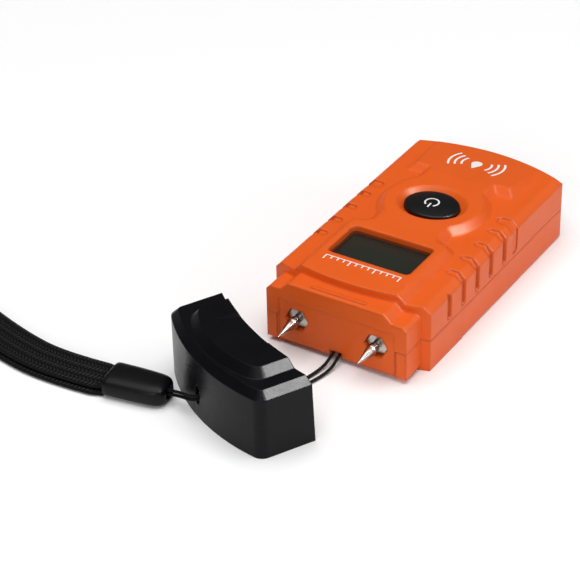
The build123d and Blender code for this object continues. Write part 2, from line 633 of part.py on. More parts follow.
with BuildPart() as electrode_nuts:
    for x in (-ELECTRODE_X, ELECTRODE_X):
        hex_bar(x, NUT_FLAT, NUT_FACE_Y, NUT_THICKNESS)
        bar_along_y(x, ELECTRODE_Z, SHANK_RADIUS + 0.02, NUT_FACE_Y + 1, NUT_THICKNESS + 2, Mode.SUBTRACT)
save(electrode_nuts, "electrode_nuts")

with BuildPart() as electrode_sockets:
    for x in (-ELECTRODE_X, ELECTRODE_X):
        box(x - 3, x + 3, SHANK_REAR_Y + 0.6, SOCKET_FRONT_Y, ELECTRODE_Z - 3, ELECTRODE_Z + 3)
        bar_along_y(x, ELECTRODE_Z, SHANK_RADIUS + 0.02, NOSE_Y, 20, Mode.SUBTRACT)
save(electrode_sockets, "electrode_sockets")

with BuildPart() as terminal_tabs:
    for x in (-ELECTRODE_X, ELECTRODE_X):
        box(x - 1.2, x + 1.2, SOCKET_FRONT_Y - 3.4, SOCKET_FRONT_Y - 1.0, ELECTRODE_Z + 3,
            ELECTRODE_Z + 3.3)
        box(x - 1.2, x + 1.2, BOARD_FRONT_Y - 1.5, SOCKET_FRONT_Y - 1.0, ELECTRODE_Z + 3.3,
            ELECTRODE_Z + 3.6)
        box(x - 1.2, x + 1.2, BOARD_FRONT_Y - 1.5, BOARD_FRONT_Y - 1.1, ELECTRODE_Z + 3.6, BOARD_BOTTOM)
save(terminal_tabs, "terminal_tabs")

# ---------------------------------------------------------------- fasteners
with BuildPart() as casing_screws:
    for x, y in CASE_SCREWS:
        post(x, y, SCREW_HEAD_RADIUS, HEAD_SEAT - 1.3, HEAD_SEAT)
        post(x, y, SCREW_CORE, HEAD_SEAT, CASE_SCREW_END)
        box(x - 0.2, x + 0.2, y - 1.1, y + 1.1, HEAD_SEAT - 1.4, HEAD_SEAT - 0.7, Mode.SUBTRACT)
        box(x - 1.1, x + 1.1, y - 0.2, y + 0.2, HEAD_SEAT - 1.4, HEAD_SEAT - 0.7, Mode.SUBTRACT)
save(casing_screws, "casing_screws")

with BuildPart() as board_screws:
    for x, y in BOARD_SCREWS:
        post(x, y, 1.4, BOARD_BOTTOM - 0.9, BOARD_BOTTOM)
        post(x, y, BOARD_SCREW_CORE, BOARD_BOTTOM, SIDE_HEIGHT - 0.1)
save(board_screws, "board_screws")

with BuildPart() as lanyard_pin:
    post(0, PIN_Y, PIN_RADIUS, NOSE_FLOOR + 0.2, EYE_ROOF + 1.2)
save(lanyard_pin, "lanyard_pin")

# ---------------------------------------------------------------- cap


def cap_lines(inset, end_inset, rim):
    """Plan outline of the cap: straight sides, convex outer end, rim hollowed to match the casing."""
    x = HALF_WIDTH - inset
    end = CAP_SIDE - end_inset
    with BuildLine() as lines:
        Line((x, rim), (x, end))
        ThreePointArc((x, end), (0, CAP_SIDE + CAP_BULGE - end_inset), (-x, end))
        Line((-x, end), (-x, rim))
        ThreePointArc((-x, rim), (0, rim + FRONT_BULGE), (x, rim))
    return lines.edges()


with BuildPart() as cap_body:
    with BuildSketch() as cap_plan:
        make_face(cap_lines(0, 0, 0))
        fillet(cap_plan.vertices().filter_by(lambda v: v.Y > CAP_SIDE / 2), CAP_CORNER)
    extrude(amount=SHOULDER_HEIGHT)
    cap_top = cap_body.faces().sort_by(Axis.Z)[-1]
    chamfer(cap_top.edges().filter_by(lambda e: e.center().Y > FRONT_BULGE + 0.2), SIDE_CHAMFER)

with BuildPart() as cap_deck:
    with BuildSketch(level(DECK_ROOT)) as deck_plan:
        make_face(cap_lines(HALF_WIDTH - CAP_DECK_HALF, CAP_DECK_INSET - CAP_DECK_SAG, 0))
        fillet(deck_plan.vertices().filter_by(lambda v: v.Y > CAP_SIDE / 2), CAP_DECK_CORNER)
        make_face(cap_lines(0, 0, 0), mode=Mode.INTERSECT)
    extrude(amount=TOP_HEIGHT - DECK_ROOT)
    raised = cap_deck.faces().sort_by(Axis.Z)[-1]
    chamfer(raised.edges().filter_by(lambda e: e.center().Y > FRONT_BULGE + 0.2), DECK_BEVEL)

with BuildPart() as cap_cavity:
    with BuildSketch(facing_front(-1)):
        with BuildLine():
            Polyline(
                (-CAP_INNER, CAP_FLOOR),
                (CAP_INNER, CAP_FLOOR),
                (CAP_INNER, CAP_ROOF),
                (-CAP_INNER, CAP_ROOF),
                close=True,
            )
        make_face()
    extrude(amount=-CAP_SIDE - CAP_BULGE - 2)
    with BuildSketch(facing_front(-1)):
        with BuildLine():
            Polyline(
                (-CAP_DECK_FOOT, CAP_ROOF - 0.1),
                (CAP_DECK_FOOT, CAP_ROOF - 0.1),
                (CAP_DECK_INNER, CAP_DECK_ROOF),
                (-CAP_DECK_INNER, CAP_DECK_ROOF),
                close=True,
            )
        make_face()
    extrude(amount=-CAP_DECK_DEPTH - 1)
    with BuildSketch(level(0)) as cavity_plan:
        make_face(cap_lines(CAP_SIDE_WALL, CAP_END_WALL, -2 - FRONT_BULGE))
        fillet(cavity_plan.vertices().filter_by(lambda v: v.Y > CAP_SIDE / 2), CAP_INNER_CORNER)
    extrude(amount=TOP_HEIGHT, mode=Mode.INTERSECT)

with BuildPart() as scoop_cut:
    with BuildSketch(Plane.YZ.offset(SCOOP_X - SCOOP_HALF_WIDTH)):
        with BuildLine():
            Polyline(
                (-1, TOP_HEIGHT - SCOOP_DEPTH),
                (SCOOP_REACH, TOP_HEIGHT),
                (SCOOP_REACH, TOP_HEIGHT + 1),
                (-1, TOP_HEIGHT + 1),
                close=True,
            )
        make_face()
    extrude(amount=2 * SCOOP_HALF_WIDTH + 2 * SCOOP_RUNOUT)
    far = SCOOP_X + SCOOP_HALF_WIDTH
    with BuildSketch(facing_front(-2)):
        with BuildLine():
            Polyline(
                (SCOOP_X - SCOOP_HALF_WIDTH - 1, TOP_HEIGHT - 2 * SCOOP_DEPTH),
                (far - 2 * SCOOP_RUNOUT, TOP_HEIGHT - 2 * SCOOP_DEPTH),
                (far + SCOOP_RUNOUT, TOP_HEIGHT + SCOOP_DEPTH),
                (SCOOP_X - SCOOP_HALF_WIDTH - 1, TOP_HEIGHT + SCOOP_DEPTH),
                close=True,
            )
        make_face()
    extrude(amount=-SCOOP_REACH - 4, mode=Mode.INTERSECT)

with BuildPart() as cap_shell:
    add(cap_body.part)
    add(cap_deck.part)
    add(cap_cavity.part, mode=Mode.SUBTRACT)
    # slot for the cord in the middle of the outer end
    with BuildSketch(facing_front(CAP_SIDE)):
        with Locations((CAP_SLOT_X, (CAP_SLOT_BOTTOM + CAP_SLOT_TOP) / 2)):
            SlotOverall(CAP_SLOT_TOP - CAP_SLOT_BOTTOM, CAP_SLOT_WIDTH, rotation=90)
    extrude(amount=-CAP_BULGE - 3, mode=Mode.SUBTRACT)
    # the rim leans back a little towards its top
    with BuildSketch(level(0)) as lean:
        with BuildLine():
            Line((-HALF_WIDTH - 1, -2), (HALF_WIDTH + 1, -2))
            Line((HALF_WIDTH + 1, -2), (HALF_WIDTH + 1, 0))
            Line((HALF_WIDTH + 1, 0), (HALF_WIDTH, 0))
            ThreePointArc((HALF_WIDTH, 0), (0, FRONT_BULGE), (-HALF_WIDTH, 0))
            Line((-HALF_WIDTH, 0), (-HALF_WIDTH - 1, 0))
            Line((-HALF_WIDTH - 1, 0), (-HALF_WIDTH - 1, -2))
        make_face()
    extrude(lean.sketch, amount=TOP_HEIGHT + 1, dir=(0, RIM_LEAN / TOP_HEIGHT, 1), mode=Mode.SUBTRACT)
    # shallow ramp for the thumb, deepest at the rim
    add(scoop_cut.part, mode=Mode.SUBTRACT)
placed_cap = CAP_PLANE.location * cap_shell.part
placed_cap.label = "cap_shell"
export_step(placed_cap, "parts/cap_shell.step")

# ---------------------------------------------------------------- cord


def bend_radii(points, tight=None):
    """Bend radius at each corner: 0.45 of the shorter run beside it over tan(half the turn)."""
    radii = []
    for n in range(1, len(points) - 1):
        before = Vector(*points[n]) - Vector(*points[n - 1])
        after = Vector(*points[n + 1]) - Vector(*points[n])
        turn = radians(before.get_angle(after))
        radius = 0.45 * min(before.length, after.length) / (sin(turn / 2) / cos(turn / 2))
        if tight and n in tight:
            radius = tight[n]
        radii.append(radius)
    return radii


LOOP_HALF = 0.8           # each strand runs this far from the pin's centre line
STRAND_ONE = [
    (25.4, 71.6, 2.1),
    (20.6, 71.8, 3.2),
    (15.7, 73.9, 4.9),
    (12.6, 69.0, 4.1),
    (6.9, 61.0, 1.75),
    (3.7, 55.0, 0.5),
    (0.8, 44.6, 0.45),
    (LOOP_HALF, 39.4, 1.95),
    (LOOP_HALF, PIN_Y - LOOP_HALF, 3.1),
]
STRAND_TWO = [
    (-LOOP_HALF, PIN_Y - LOOP_HALF, 3.1),
    (-LOOP_HALF, 39.4, 1.95),
    (-1.2, 44.9, 0.45),
    (2.3, 55.6, 0.5),
    (5.6, 61.5, 1.75),
    (12.6, 69.0, 5.05),
    (15.7, 73.9, 5.85),
    (20.6, 71.8, 4.2),
    (25.4, 71.6, 3.1),
]
cord_route = STRAND_ONE + STRAND_TWO
turn_corners = {len(STRAND_ONE) - 1: LOOP_HALF * 0.999, len(STRAND_ONE): LOOP_HALF * 0.999}
cord_radii = bend_radii(cord_route, turn_corners)
print("cord bend radii", [round(r, 2) for r in cord_radii])

with BuildPart() as lanyard_cord:
    with BuildLine() as cord_path:
        FilletPolyline(*cord_route, radius=cord_radii)
    with BuildSketch(Plane(origin=cord_path.line @ 0, z_dir=cord_path.line % 0)):
        Circle(CORD_RADIUS)
    sweep()
save(lanyard_cord, "lanyard_cord")
cord_length = sum(e.length for e in cord_path.line.edges())
cord_section = 3.14159 * CORD_RADIUS**2
print("cord length", cord_length, "volume ratio", lanyard_cord.part.volume / (cord_length * cord_section))

# ---------------------------------------------------------------- ferrule and strap
FERRULE_PLANE = Plane(
    origin=(FERRULE_NOSE[0], FERRULE_NOSE[1], 0),
    x_dir=(cos(radians(FERRULE_TURN)), sin(radians(FERRULE_TURN)), 0),
    z_dir=(0, 0, 1),
)
with BuildPart() as ferrule:
    with BuildSketch(level(0)) as ferrule_plan:
        with BuildLine():
            Polyline(
                (0, FERRULE_NOSE_WIDTH / 2),
                (0, -FERRULE_NOSE_WIDTH / 2),
                (2.6, -FERRULE_WIDTH / 2 + 0.5),
                (FERRULE_LENGTH, -FERRULE_WIDTH / 2),
                (FERRULE_LENGTH, FERRULE_WIDTH / 2),
                (2.6, FERRULE_WIDTH / 2 - 0.5),
                close=True,
            )
        make_face()
        fillet(ferrule_plan.vertices().filter_by(lambda v: v.X < 1), 1.9)
        fillet(ferrule_plan.vertices().filter_by(lambda v: 2 < v.X < 5), 2.5)
    extrude(amount=FERRULE_HEIGHT)
    ferrule_top = ferrule.faces().sort_by(Axis.Z)[-1]
    chamfer(ferrule_top.edges().filter_by(lambda e: e.center().X < FERRULE_LENGTH - 0.1), 1.1)
    with BuildSketch(level(1.1)):
        with Locations((1.5, 0)):
            Rectangle(3.6, 2.2)
    extrude(amount=3.1, mode=Mode.SUBTRACT)
placed_ferrule = FERRULE_PLANE.location * ferrule.part
placed_ferrule.label = "strap_ferrule"
export_step(placed_ferrule, "parts/strap_ferrule.step")

mouth = FERRULE_PLANE.from_local_coords(Vector(FERRULE_LENGTH + 0.2, 0, 0))
STRAP_ROUTE = [
    (mouth.X, mouth.Y),
    (52.0, 75.35),
    (68.0, 72.8),
    (88.0, 66.0),
    (112.0, 54.0),
    (138.0, 38.0),
    (163.0, 21.5),
]
strap_radii = bend_radii([(x, y, 0) for x, y in STRAP_ROUTE])
print("strap bend radii", [round(r, 1) for r in strap_radii])


def strap_layer(z, shift):
    """One layer of webbing lying flat at height z, its line moved sideways by the shift."""
    points = [(x, y + shift, z) for x, y in STRAP_ROUTE]
    with BuildPart() as layer:
        with BuildLine() as path:
            FilletPolyline(*points, radius=strap_radii)
        with BuildSketch(Plane(origin=path.line @ 0, x_dir=(0, 0, 1), z_dir=path.line % 0)):
            Rectangle(STRAP_THICKNESS, STRAP_WIDTH)
        sweep()
    length = sum(e.length for e in path.line.edges())
    print("strap layer length", length, layer.part.volume / (length * STRAP_WIDTH * STRAP_THICKNESS))
    return layer.part


for name, z, shift in (
    ("strap_lower", 0.05 + STRAP_THICKNESS / 2, 0.0),
    ("strap_upper", 0.05 + STRAP_THICKNESS * 1.5 + 0.05, -0.9),
):
    layer = strap_layer(z, shift)
    layer.label = name
    export_step(layer, f"parts/{name}.step")
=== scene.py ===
import json
import math

import bmesh
import bpy
from mathutils import Matrix, Vector


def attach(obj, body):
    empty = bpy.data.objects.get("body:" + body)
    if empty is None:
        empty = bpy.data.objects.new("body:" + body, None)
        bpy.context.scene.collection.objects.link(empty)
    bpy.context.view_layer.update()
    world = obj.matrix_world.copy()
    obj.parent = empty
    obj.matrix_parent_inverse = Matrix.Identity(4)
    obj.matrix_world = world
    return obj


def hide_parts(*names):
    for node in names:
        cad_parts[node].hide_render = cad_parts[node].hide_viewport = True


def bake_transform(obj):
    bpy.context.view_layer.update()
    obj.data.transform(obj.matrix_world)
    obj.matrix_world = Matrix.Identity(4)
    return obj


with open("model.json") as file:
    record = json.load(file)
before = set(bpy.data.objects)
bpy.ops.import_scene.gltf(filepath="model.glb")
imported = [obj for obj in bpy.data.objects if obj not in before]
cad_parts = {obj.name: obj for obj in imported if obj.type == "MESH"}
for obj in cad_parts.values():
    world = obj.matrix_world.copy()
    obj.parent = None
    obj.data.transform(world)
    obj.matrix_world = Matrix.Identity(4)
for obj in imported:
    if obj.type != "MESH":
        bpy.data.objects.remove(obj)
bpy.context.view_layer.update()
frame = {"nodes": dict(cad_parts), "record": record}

MM = 0.001
FRAME_WIDTH = 580.0
TOP_HEIGHT = 18.6
bpy.context.scene.view_settings.view_transform = "Standard"
nodes = frame["nodes"]


# ------------------------------------------------------------------ materials
def material(name, base, rough, metallic=0.0, specular=0.5):
    mat = bpy.data.materials.new(name)
    mat.use_nodes = True
    shader = mat.node_tree.nodes["Principled BSDF"]
    shader.inputs["Base Color"].default_value = (*base, 1.0)
    shader.inputs["Roughness"].default_value = rough
    shader.inputs["Metallic"].default_value = metallic
    shader.inputs["Specular IOR Level"].default_value = specular
    return mat, mat.node_tree, shader


def link(tree, a, b):
    tree.links.new(a, b)


def noise(tree, scale, detail=4.0, rough=0.55, stretch=None):
    tex = tree.nodes.new("ShaderNodeTexCoord")
    out = tex.outputs["Object"]
    if stretch:
        mapping = tree.nodes.new("ShaderNodeMapping")
        mapping.inputs["Scale"].default_value = stretch
        link(tree, out, mapping.inputs["Vector"])
        out = mapping.outputs["Vector"]
    node = tree.nodes.new("ShaderNodeTexNoise")
    node.inputs["Scale"].default_value = scale
    node.inputs["Detail"].default_value = detail
    node.inputs["Roughness"].default_value = rough
    link(tree, out, node.inputs["Vector"])
    return node.outputs["Fac"]


def ramp(tree, value, low, high, out_low, out_high):
    node = tree.nodes.new("ShaderNodeMapRange")
    node.inputs["From Min"].default_value = low
    node.inputs["From Max"].default_value = high
    node.inputs["To Min"].default_value = out_low
    node.inputs["To Max"].default_value = out_high
    link(tree, value, node.inputs["Value"])
    return node.outputs["Result"]


def shade_mix(tree, shader, base, fac, amount):
    """The base colour, lighter or darker by the amount where fac varies."""
    node = tree.nodes.new("ShaderNodeMix")
    node.data_type = "RGBA"
    node.inputs["A"].default_value = (*[c * (1 - amount) for c in base], 1)
    node.inputs["B"].default_value = (*[min(1, c * (1 + amount)) for c in base], 1)
    link(tree, fac, node.inputs["Factor"])
    link(tree, node.outputs["Result"], shader.inputs["Base Color"])


def bump(tree, shader, height, distance, strength=1.0, soft_edge=None):
    node = tree.nodes.new("ShaderNodeBump")
    node.inputs["Strength"].default_value = strength
    node.inputs["Distance"].default_value = distance
    link(tree, height, node.inputs["Height"])
    if soft_edge:
        edge = tree.nodes.new("ShaderNodeBevel")
        edge.samples = 6
        edge.inputs["Radius"].default_value = soft_edge
        link(tree, edge.outputs["Normal"], node.inputs["Normal"])
    link(tree, node.outputs["Normal"], shader.inputs["Normal"])


# noise scales, per metre, and the part of the noise's range that is used
GRAIN_SCALE = 2600
GLOSS_SCALE = 180
TONE_SCALE = 60
METAL_SCALE = 900
NOISE_LOW = 0.3
NOISE_HIGH = 0.7
METAL_EDGE = 0.00012


def plastic(name, base, rough, grain=0.00002, vary=0.03, edge=0.00035, specular=0.5):
    """Moulded plastic: fine grain, broad tone and gloss that vary a little, edges softened by edge metres."""
    mat, tree, shader = material(name, base, rough, specular=specular)
    fine = noise(tree, GRAIN_SCALE)
    broad = noise(tree, TONE_SCALE, 3)
    shade_mix(tree, shader, base, ramp(tree, broad, NOISE_LOW, NOISE_HIGH, 0, 1), vary)
    gloss = ramp(tree, noise(tree, GLOSS_SCALE, 5), NOISE_LOW, NOISE_HIGH, rough - 0.04, rough + 0.05)
    link(tree, gloss, shader.inputs["Roughness"])
    bump(tree, shader, fine, grain, 1.0, edge)
    return mat


def metal(name, base, rough, stretch=(1, 1, 1), grain=0.000006):
    """Turned or stamped metal with a faint grain, stretched along an axis where it was turned."""
    mat, tree, shader = material(name, base, rough, metallic=1.0)
    fine = noise(tree, METAL_SCALE, stretch=stretch)
    gloss = ramp(tree, fine, NOISE_LOW, NOISE_HIGH, rough - 0.015, rough + 0.03)
    link(tree, gloss, shader.inputs["Roughness"])
    bump(tree, shader, fine, grain, 1.0, METAL_EDGE)
    return mat


ORANGE = (0.73, 0.100, 0.006)
orange = plastic("orange_abs", ORANGE, 0.43, vary=0.02, edge=0.0010, specular=0.36)
orange_shader = orange.node_tree.nodes["Principled BSDF"]
orange_shader.inputs["Specular Tint"].default_value = (1.0, 0.86, 0.72, 1.0)
orange_shader.inputs["Subsurface Weight"].default_value = 0.06
orange_shader.inputs["Subsurface Radius"].default_value = (0.0012, 0.0003, 0.0001)
BLACK = (0.0028, 0.0028, 0.0034)
cap_black = plastic("cap_abs", (0.0028, 0.0028, 0.0038), 0.28, vary=0.1, edge=0.00028, specular=0.13)
key_black = plastic("key_black", BLACK, 0.30, vary=0.1, edge=0.0005, specular=0.36)
ferrule_black = plastic("ferrule_black", BLACK, 0.34, grain=0.00003, vary=0.1, specular=0.16)
inner_white = plastic("inner_white", (0.6, 0.6, 0.57), 0.5)
chip = plastic("chip_black", (0.015, 0.015, 0.016), 0.5)
elastomer = plastic("elastomer", (0.04, 0.04, 0.04), 0.6)
laminate = plastic("laminate", (0.02, 0.12, 0.045), 0.35)
chrome = metal("chrome", (0.37, 0.345, 0.325), 0.17, stretch=(1, 6, 1))
nickel = metal("nickel", (0.56, 0.54, 0.49), 0.3, grain=0.000002)
brass = metal("brass", (0.72, 0.55, 0.24), 0.28)

lens, lens_tree, lens_shader = material("lens", (0.02, 0.022, 0.018), 0.08, specular=0.45)
lens_shader.inputs["Alpha"].default_value = 0.28
bump(lens_tree, lens_shader, noise(lens_tree, 90, 2), 0.00001, 0.4)

LCD_TONE = (0.045, 0.048, 0.033)
lcd, lcd_tree, lcd_shader = material("lcd_glass", LCD_TONE, 0.25)
shade_mix(lcd_tree, lcd_shader, LCD_TONE, noise(lcd_tree, 45, 1), 0.25)

ink, ink_tree, ink_shader = material("white_ink", (0.82, 0.80, 0.78), 0.5)
bump(ink_tree, ink_shader, noise(ink_tree, 4000, 3), 0.00001, 0.6)

SLOT_LOOK = {
    "casing_plastic": orange,
    "dark_plastic": cap_black,
    "button_rubber": key_black,
    "lens_clear": lens,
    "lcd_glass": lcd,
    "elastomer": elastomer,
    "inner_plastic": inner_white,
    "board_laminate": laminate,
    "chip_black": chip,
    "chrome": chrome,
    "brass": brass,
    "steel": nickel,
    "webbing": ferrule_black,
    "cord_fabric": ferrule_black,
}
slot_of = {row["node"]: row["material_slot"] for row in frame["record"]["subparts"]}
for name, obj in nodes.items():
    obj.data.materials.clear()
    obj.data.materials.append(SLOT_LOOK[slot_of[name]])


# ------------------------------------------------------------------ mesh helpers
def mesh_piece(name, verts, faces, mat, smooth=True, uvs=None):
    """Object of these millimetre points; uvs are one pair for each point."""
    mesh = bpy.data.meshes.new(name)
    mesh.from_pydata([tuple(c * MM for c in v) for v in verts], [], faces)
    if uvs:
        layer = mesh.uv_layers.new(name="UVMap")
        for loop in mesh.loops:
            layer.data[loop.index].uv = uvs[loop.vertex_index]
    mesh.materials.append(mat)
    obj = bpy.data.objects.new(name, mesh)
    bpy.context.scene.collection.objects.link(obj)
    if smooth:
        for poly in mesh.polygons:
            poly.use_smooth = True
    mesh.validate()
    mesh.update()
    return obj


def ring_faces(rings, count):
    """Quads that join each ring of count points to the next one."""
    faces = []
    for r in range(rings - 1):
        for k in range(count):
            a = r * count + k
            b = r * count + (k + 1) % count
            faces.append((a, b, b + count, a + count))
    return faces


def direction(line, n):
    """Heading of a line at its point n."""
    return (line[min(n + 1, len(line) - 1)] - line[max(n - 1, 0)]).normalized()


def recalc(obj):
    bm = bmesh.new()
    bm.from_mesh(obj.data)
    bmesh.ops.recalc_face_normals(bm, faces=bm.faces)
    bm.to_mesh(obj.data)
    bm.free()


# ------------------------------------------------------------------ lanyard cord
LOOP = 0.8
PIN_Y = 36.6
ROUTE = [
    (25.4, 71.6, 2.1),
    (20.6, 71.8, 3.2),
    (15.7, 73.9, 4.9),
    (12.6, 69.0, 4.1),
    (6.9, 61.0, 1.75),
    (3.7, 55.0, 0.5),
    (0.8, 44.6, 0.45),
    (LOOP, 39.4, 1.95),
    (LOOP, PIN_Y - LOOP, 3.1),
    (-LOOP, PIN_Y - LOOP, 3.1),
    (-LOOP, 39.4, 1.95),
    (-1.2, 44.9, 0.45),
    (2.3, 55.6, 0.5),
    (5.6, 61.5, 1.75),
    (12.6, 69.0, 5.05),
    (15.7, 73.9, 5.85),
    (20.6, 71.8, 4.2),
    (25.4, 71.6, 3.1),
]
CORD_DIAMETER = 0.7 * MM
PLAIT_PITCH = 3.2
PLAIT_LOBES = 4
PLAIT_RELIEF = 0.24
PLAIT_MEAN = 0.4
SPLINE_STEPS = 24

cord_mat, cord_tree, cord_shader = material("braided_cord", (0.005, 0.005, 0.006), 0.7, specular=0.12)
cord_uv = cord_tree.nodes.new("ShaderNodeTexCoord")
cord_wave = cord_tree.nodes.new("ShaderNodeTexWave")
cord_wave.wave_type = "BANDS"
cord_wave.bands_direction = "DIAGONAL"
cord_wave.inputs["Scale"].default_value = 900
cord_wave.inputs["Distortion"].default_value = 1.0
link(cord_tree, cord_uv.outputs["Object"], cord_wave.inputs["Vector"])
bump(cord_tree, cord_shader, cord_wave.outputs["Fac"], 0.00012, 0.9)


def spline_line(points, per):
    """Points read from the order-3 NURBS spline that has these control points."""
    data = bpy.data.curves.new("route", "CURVE")
    data.dimensions = "3D"
    data.resolution_u = per
    spline = data.splines.new("NURBS")
    spline.points.add(len(points) - 1)
    for point, at in zip(spline.points, points):
        point.co = (*at, 1.0)
    spline.order_u = 3
    spline.use_endpoint_u = True
    carrier = bpy.data.objects.new("route", data)
    mesh = bpy.data.meshes.new_from_object(carrier)
    line = [vert.co.copy() for vert in mesh.vertices]
    bpy.data.meshes.remove(mesh)
    bpy.data.objects.remove(carrier)
    bpy.data.curves.remove(data)
    return line


def braided_tube(name, line, radius, mat, sides=16):
    """Plaited round cord along a line, its sections turned no more than the line itself turns."""
    heading = (line[1] - line[0]).normalized()
    side = heading.cross(Vector((0, 0, 1))).normalized()
    verts = []
    uvs = []
    run = 0.0
    for n, p in enumerate(line):
        ahead = direction(line, n)
        side = (side - ahead * side.dot(ahead)).normalized()
        other = ahead.cross(side)
        if n:
            run += (p - line[n - 1]).length
        for k in range(sides):
            t = 2 * math.pi * k / sides
            lay = 2 * math.pi * run / PLAIT_PITCH
            crown = abs(math.cos(PLAIT_LOBES / 2 * (t - lay)) * math.cos(PLAIT_LOBES / 2 * (t + lay)))
            r = radius * (1 + PLAIT_RELIEF * (crown - PLAIT_MEAN))
            verts.append(tuple(p + side * (r * math.cos(t)) + other * (r * math.sin(t))))
            uvs.append((k / sides, run))
    faces = ring_faces(len(line), sides)
    faces.append(tuple(reversed(range(sides))))
    last = (len(line) - 1) * sides
    faces.append(tuple(range(last, last + sides)))
    obj = mesh_piece(name, verts, faces, mat, uvs=uvs)
    recalc(obj)
    return obj


cord_line = spline_line(ROUTE, 2 * SPLINE_STEPS)
cord = braided_tube("cord_loop", cord_line, CORD_DIAMETER / MM / 2, cord_mat)
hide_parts("lanyard_cord")
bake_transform(cord)

# ------------------------------------------------------------------ ferrule
NOSE = Vector((23.5, 71.3, 0))
TURN = math.radians(8.0)
AXIS = Vector((math.cos(TURN), math.sin(TURN), 0))
SIDE = Vector((-math.sin(TURN), math.cos(TURN), 0))


def ferrule_ring(s, half, top, n=40, bottom=0.0, power=3.2):
    """Rounded flat-bottomed section at distance s from the nose."""
    ring = []
    mid = (top + bottom) / 2
    tall = (top - bottom) / 2
    for k in range(n):
        a = 2 * math.pi * k / n
        c = math.cos(a)
        d = math.sin(a)
        across = math.copysign(abs(c) ** (2 / power), c) * half
        up = mid + math.copysign(abs(d) ** (2 / power), d) * tall
        ring.append(NOSE + AXIS * s + SIDE * across + Vector((0, 0, up)))
    return ring


def build_ferrule():
    stations = [
        (0.0, 1.7, 3.9, 0.9),
        (0.12, 2.3, 4.25, 0.6),
        (0.5, 3.0, 4.6, 0.3),
        (1.1, 3.55, 4.85, 0.12),
        (2.0, 3.95, 5.0, 0.03),
        (3.2, 4.2, 5.05, 0.0),
        (6.0, 4.38, 5.1, 0.0),
        (10.0, 4.52, 5.1, 0.0),
        (13.2, 4.6, 5.05, 0.0),
        (14.1, 4.6, 5.0, 0.03),
        (14.4, 4.5, 4.85, 0.12),
    ]
    rings = [ferrule_ring(s, half, top, bottom=low) for s, half, top, low in stations]
    mouth = [(14.4, 4.25, 4.3, 0.35), (14.1, 4.15, 4.2, 0.45), (11.4, 4.1, 4.1, 0.5)]
    rings += [ferrule_ring(s, half, top, bottom=low, power=4.5) for s, half, top, low in mouth]
    n = len(rings[0])
    verts = [tuple(v) for ring in rings for v in ring]
    faces = ring_faces(len(rings), n)
    last = (len(rings) - 1) * n
    faces.append(tuple(range(last, last + n)))
    # rounded hole at the nose for the two strands
    hole = [
        ferrule_ring(0.0, 1.7, 3.9, bottom=0.9),
        ferrule_ring(0.25, 1.3, 3.95, bottom=1.3, power=2.4),
        ferrule_ring(2.2, 2.2, 3.95, bottom=1.2, power=2.4),
    ]
    start = len(verts)
    verts += [tuple(v) for ring in hole for v in ring]
    for k in range(n):
        b = (k + 1) % n
        faces.append((start + n + b, start + n + k, k, b))
        faces.append((start + n + b, start + n + k, start + 2 * n + k, start + 2 * n + b))
    faces.append(tuple(start + 2 * n + k for k in range(n)))
    obj = mesh_piece("ferrule_body", verts, faces, ferrule_black)
    recalc(obj)
    return obj


ferrule = build_ferrule()
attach(ferrule, "strap")
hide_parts("strap_ferrule")

# ------------------------------------------------------------------ strap
STRAP_ROUTE = [
    (37.9579, 73.3319),
    (52.0, 75.35),
    (68.0, 72.8),
    (88.0, 66.0),
    (112.0, 54.0),
    (138.0, 38.0),
    (163.0, 21.5),
]
STRAP_LENGTH = 138.65 * MM
STRAP_WIDTH = 9.5
STRAP_THICK = 1.15
RIBS = 7
STEPS_PER_RIB = 6
RIB_RELIEF = 0.28
EDGE_THINNING = 0.65
EDGE_SHARE = 1 / 14
MOUTH_PINCH = 0.14
PINCH_LENGTH = 3.0
LAYER_LIFT = 0.05
UPPER_SHIFT = -0.9
FLOAT_LENGTH = 0.95

web, web_tree, web_shader = material("woven_strap", (0.006, 0.006, 0.007), 0.5, specular=0.12)


def weave_height(tree):
    """Twill floats slanting one way on every other rib, from the strap's own across and along."""
    uv = tree.nodes.new("ShaderNodeUVMap")
    uv.uv_map = "UVMap"
    parts = tree.nodes.new("ShaderNodeSeparateXYZ")
    link(tree, uv.outputs["UV"], parts.inputs["Vector"])

    def op(kind, a, b=None, c=None):
        node = tree.nodes.new("ShaderNodeMath")
        node.operation = kind
        for n, value in enumerate((a, b, c)):
            if value is None:
                continue
            if isinstance(value, (int, float)):
                node.inputs[n].default_value = value
            else:
                link(tree, value, node.inputs[n])
        return node.outputs["Value"]

    across = op("MULTIPLY", parts.outputs["X"], float(RIBS))
    column = op("FLOOR", across)
    inside = op("SUBTRACT", across, column)
    odd = op("MODULO", column, 2.0)
    sign = op("SUBTRACT", op("MULTIPLY", odd, 2.0), 1.0)
    along = op("MULTIPLY", parts.outputs["Y"], 1.0 / FLOAT_LENGTH)
    slant = op("MULTIPLY", op("MULTIPLY", inside, sign), 0.75)
    phase = op("MULTIPLY", op("ADD", along, slant), 2 * math.pi)
    floats = op("ABSOLUTE", op("SINE", op("MULTIPLY", phase, 0.5)))
    rib = op("SINE", op("MULTIPLY", inside, math.pi))
    rib = op("POWER", rib, 0.5)
    return op("MULTIPLY", floats, rib)


